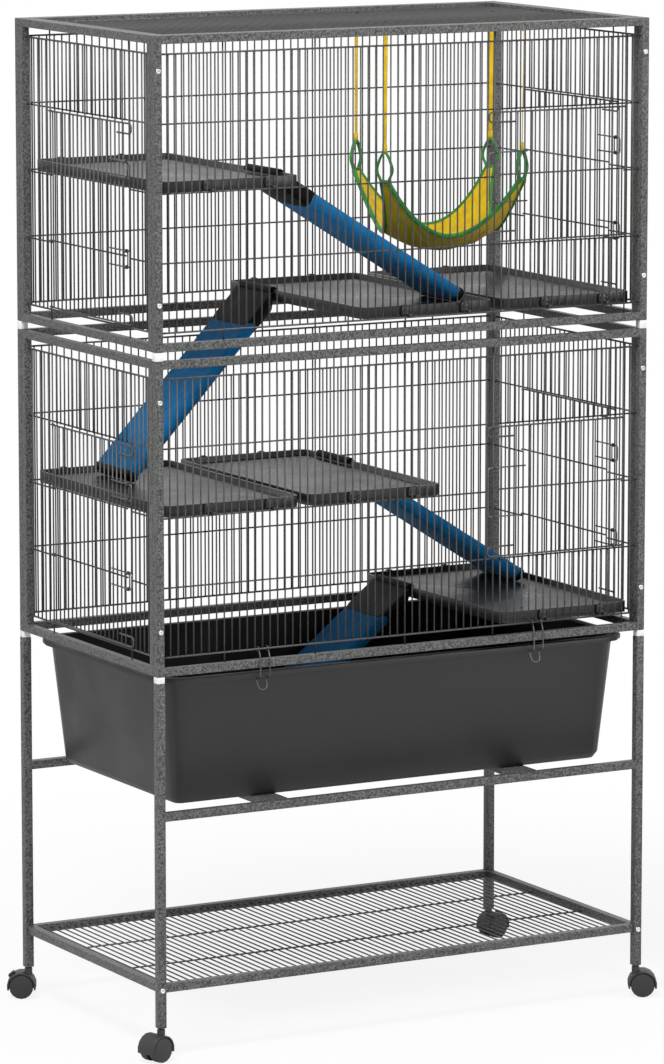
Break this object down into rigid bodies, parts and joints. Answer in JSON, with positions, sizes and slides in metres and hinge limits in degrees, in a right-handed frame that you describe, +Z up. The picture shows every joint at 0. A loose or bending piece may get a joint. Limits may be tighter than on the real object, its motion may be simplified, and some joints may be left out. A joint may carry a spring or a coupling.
{
  "type": "ferret cage",
  "caption": "Tall wire ferret cage on a wheeled stand with hinged doors, platforms, ramps, a hammock, a deep slide-out litter tray and a wire storage shelf.",
  "frame": {"origin": "middle of the bounding box on the floor", "axes": "+X along the long side towards the right, +Y from the front to the back, +Z up"},
  "size_m": [0.8436, 0.4758, 1.4181],
  "materials": {
    "frame_paint": "dark grey hammertone paint",
    "wire_paint": "dark grey hammertone paint",
    "bare_wire": "plated wire",
    "plug": "white moulded plastic",
    "tray": "charcoal moulded plastic",
    "platform": "charcoal moulded plastic",
    "ramp_cover": "blue woven cover",
    "caster": "dark grey moulded plastic",
    "hammock_cloth": "yellow woven cloth"
  },
  "bodies": {
    "cage_and_stand": {"stand_front_frame": "frame_paint", "stand_back_frame": "frame_paint", "storage_shelf": "frame_paint", "stand_plug_front_left": "plug", "stand_plug_front_right": "plug", "stand_plug_back_left": "plug", "stand_plug_back_right": "plug", "storey_plug_front_left": "plug", "storey_plug_front_right": "plug", "storey_plug_back_left": "plug", "storey_plug_back_right": "plug", "front_panel_upper": "wire_paint", "back_panel_upper": "wire_paint", "left_panel_upper": "wire_paint", "right_panel_upper": "wire_paint", "front_panel_lower": "wire_paint", "back_panel_lower": "wire_paint", "left_panel_lower": "wire_paint", "right_panel_lower": "wire_paint", "top_panel": "wire_paint", "platform_upper_left": "platform", "platform_upper_middle": "platform", "platform_upper_right": "platform", "platform_lower_left": "platform", "platform_lower_middle": "platform", "platform_lower_right": "platform", "hammock": "hammock_cloth"},
    "front_door_upper": {"front_door_upper": "wire_paint"},
    "front_latch_upper": {"front_latch_upper": "bare_wire"},
    "left_door_upper": {"left_door_upper": "wire_paint"},
    "left_latch_upper_1": {"left_latch_upper_1": "bare_wire"},
    "left_latch_upper_2": {"left_latch_upper_2": "bare_wire"},
    "right_door_upper": {"right_door_upper": "wire_paint"},
    "right_latch_upper_1": {"right_latch_upper_1": "bare_wire"},
    "right_latch_upper_2": {"right_latch_upper_2": "bare_wire"},
    "front_door_lower": {"front_door_lower": "wire_paint"},
    "front_latch_lower": {"front_latch_lower": "bare_wire"},
    "left_door_lower": {"left_door_lower": "wire_paint"},
    "left_latch_lower_1": {"left_latch_lower_1": "bare_wire"},
    "left_latch_lower_2": {"left_latch_lower_2": "bare_wire"},
    "right_door_lower": {"right_door_lower": "wire_paint"},
    "right_latch_lower_1": {"right_latch_lower_1": "bare_wire"},
    "right_latch_lower_2": {"right_latch_lower_2": "bare_wire"},
    "caster_body_front_left": {"caster_body_front_left": "caster"},
    "caster_wheels_front_left": {"caster_wheels_front_left": "caster"},
    "caster_body_front_right": {"caster_body_front_right": "caster"},
    "caster_wheels_front_right": {"caster_wheels_front_right": "caster"},
    "caster_body_back_left": {"caster_body_back_left": "caster"},
    "caster_wheels_back_left": {"caster_wheels_back_left": "caster"},
    "brake_lever_back_left": {"brake_lever_back_left": "caster"},
    "caster_body_back_right": {"caster_body_back_right": "caster"},
    "caster_wheels_back_right": {"caster_wheels_back_right": "caster"},
    "brake_lever_back_right": {"brake_lever_back_right": "caster"},
    "litter_tray": {"litter_tray": "tray"},
    "tray_clip_left": {"tray_clip_left": "bare_wire"},
    "tray_clip_right": {"tray_clip_right": "bare_wire"},
    "ramp_upper": {"ramp_upper": "ramp_cover"},
    "ramp_storeys": {"ramp_storeys": "ramp_cover"},
    "ramp_lower": {"ramp_lower": "ramp_cover"},
    "ramp_tray": {"ramp_tray": "ramp_cover"}
  },
  "joints": [
    {"name": "front_door_upper_hinge", "type": "hinge", "parent": "cage_and_stand", "child": "front_door_upper", "pos_m": [0.35813, -0.20975, 1.2031], "axis": [0, 0, 1], "range_deg": [0, 120]},
    {"name": "front_latch_upper_slide", "type": "slide", "parent": "cage_and_stand", "child": "front_latch_upper", "axis": [-1, 0, 0], "range_m": [0, 0.044]},
    {"name": "left_door_upper_hinge", "type": "hinge", "parent": "cage_and_stand", "child": "left_door_upper", "pos_m": [-0.38775, 0.11532, 1.15572], "axis": [0, 0, -1], "range_deg": [0, 120]},
    {"name": "left_latch_upper_1_slide", "type": "slide", "parent": "cage_and_stand", "child": "left_latch_upper_1", "axis": [0, -1, 0], "range_m": [0, 0.044]},
    {"name": "left_latch_upper_2_slide", "type": "slide", "parent": "cage_and_stand", "child": "left_latch_upper_2", "axis": [0, -1, 0], "range_m": [0, 0.044]},
    {"name": "right_door_upper_hinge", "type": "hinge", "parent": "cage_and_stand", "child": "right_door_upper", "pos_m": [0.38775, 0.11532, 1.15572], "axis": [0, 0, 1], "range_deg": [0, 120]},
    {"name": "right_latch_upper_1_slide", "type": "slide", "parent": "cage_and_stand", "child": "right_latch_upper_1", "axis": [0, -1, 0], "range_m": [0, 0.044]},
    {"name": "right_latch_upper_2_slide", "type": "slide", "parent": "cage_and_stand", "child": "right_latch_upper_2", "axis": [0, -1, 0], "range_m": [0, 0.044]},
    {"name": "front_door_lower_hinge", "type": "hinge", "parent": "cage_and_stand", "child": "front_door_lower", "pos_m": [0.35813, -0.20975, 0.7579], "axis": [0, 0, 1], "range_deg": [0, 120]},
    {"name": "front_latch_lower_slide", "type": "slide", "parent": "cage_and_stand", "child": "front_latch_lower", "axis": [-1, 0, 0], "range_m": [0, 0.044]},
    {"name": "left_door_lower_hinge", "type": "hinge", "parent": "cage_and_stand", "child": "left_door_lower", "pos_m": [-0.38775, 0.11532, 0.70978], "axis": [0, 0, -1], "range_deg": [0, 120]},
    {"name": "left_latch_lower_1_slide", "type": "slide", "parent": "cage_and_stand", "child": "left_latch_lower_1", "axis": [0, -1, 0], "range_m": [0, 0.044]},
    {"name": "left_latch_lower_2_slide", "type": "slide", "parent": "cage_and_stand", "child": "left_latch_lower_2", "axis": [0, -1, 0], "range_m": [0, 0.044]},
    {"name": "right_door_lower_hinge", "type": "hinge", "parent": "cage_and_stand", "child": "right_door_lower", "pos_m": [0.38775, 0.11532, 0.70978], "axis": [0, 0, 1], "range_deg": [0, 120]},
    {"name": "right_latch_lower_1_slide", "type": "slide", "parent": "cage_and_stand", "child": "right_latch_lower_1", "axis": [0, -1, 0], "range_m": [0, 0.044]},
    {"name": "right_latch_lower_2_slide", "type": "slide", "parent": "cage_and_stand", "child": "right_latch_lower_2", "axis": [0, -1, 0], "range_m": [0, 0.044]},
    {"name": "caster_swivel_front_left", "type": "hinge", "parent": "cage_and_stand", "child": "caster_body_front_left", "pos_m": [-0.3875, -0.2095, 0.0455], "axis": [0, 0, 1], "continuous": true},
    {"name": "caster_wheels_spin_front_left", "type": "hinge", "parent": "caster_body_front_left", "child": "caster_wheels_front_left", "pos_m": [-0.39701, -0.21259, 0.0175], "axis": [0.309, -0.9511, 0], "continuous": true},
    {"name": "caster_swivel_front_right", "type": "hinge", "parent": "cage_and_stand", "child": "caster_body_front_right", "pos_m": [0.3875, -0.2095, 0.0455], "axis": [0, 0, 1], "continuous": true},
    {"name": "caster_wheels_spin_front_right", "type": "hinge", "parent": "caster_body_front_right", "child": "caster_wheels_front_right", "pos_m": [0.39625, -0.21435, 0.0175], "axis": [0.4848, 0.8746, 0], "continuous": true},
    {"name": "caster_swivel_back_left", "type": "hinge", "parent": "cage_and_stand", "child": "caster_body_back_left", "pos_m": [-0.3875, 0.2095, 0.0455], "axis": [0, 0, 1], "continuous": true},
    {"name": "caster_wheels_spin_back_left", "type": "hinge", "parent": "caster_body_back_left", "child": "caster_wheels_back_left", "pos_m": [-0.39625, 0.21435, 0.0175], "axis": [-0.4848, -0.8746, 0], "continuous": true},
    {"name": "brake_lever_hinge_back_left", "type": "hinge", "parent": "caster_body_back_left", "child": "brake_lever_back_left", "pos_m": [-0.4042, 0.21876, 0.03767], "axis": [0.4848, 0.8746, 0], "range_deg": [0, 20]},
    {"name": "caster_swivel_back_right", "type": "hinge", "parent": "cage_and_stand", "child": "caster_body_back_right", "pos_m": [0.3875, 0.2095, 0.0455], "axis": [0, 0, 1], "continuous": true},
    {"name": "caster_wheels_spin_back_right", "type": "hinge", "parent": "caster_body_back_right", "child": "caster_wheels_back_right", "pos_m": [0.39701, 0.21259, 0.0175], "axis": [-0.309, 0.9511, 0], "continuous": true},
    {"name": "brake_lever_hinge_back_right", "type": "hinge", "parent": "caster_body_back_right", "child": "brake_lever_back_right", "pos_m": [0.40566, 0.2154, 0.03767], "axis": [0.309, -0.9511, 0], "range_deg": [0, 20]},
    {"name": "litter_tray_slide", "type": "slide", "parent": "cage_and_stand", "child": "litter_tray", "axis": [0, -1, 0], "range_m": [0, 0.24]},
    {"name": "tray_clip_left_hinge", "type": "hinge", "parent": "cage_and_stand", "child": "tray_clip_left", "pos_m": [-0.22681, -0.20975, 0.5654], "axis": [-1, 0, 0], "range_deg": [0, 135]},
    {"name": "tray_clip_right_hinge", "type": "hinge", "parent": "cage_and_stand", "child": "tray_clip_right", "pos_m": [0.21488, -0.20975, 0.5654], "axis": [-1, 0, 0], "range_deg": [0, 135]},
    {"name": "ramp_upper_hinge", "type": "hinge", "parent": "cage_and_stand", "child": "ramp_upper", "pos_m": [-0.16175, -0.0955, 1.2161], "axis": [0, -1, 0], "range_deg": [0, 8]},
    {"name": "ramp_storeys_hinge", "type": "hinge", "parent": "cage_and_stand", "child": "ramp_storeys", "pos_m": [-0.06137, 0.1095, 1.0266], "axis": [0, 1, 0], "range_deg": [0, 15]},
    {"name": "ramp_lower_hinge", "type": "hinge", "parent": "cage_and_stand", "child": "ramp_lower", "pos_m": [0.06506, 0.1095, 0.7709], "axis": [0, -1, 0], "range_deg": [0, 5]},
    {"name": "ramp_tray_hinge", "type": "hinge", "parent": "litter_tray", "child": "ramp_tray", "pos_m": [0.16544, 0.1095, 0.5784], "axis": [0, 1, 0], "range_deg": [0, 25]}
  ]
}
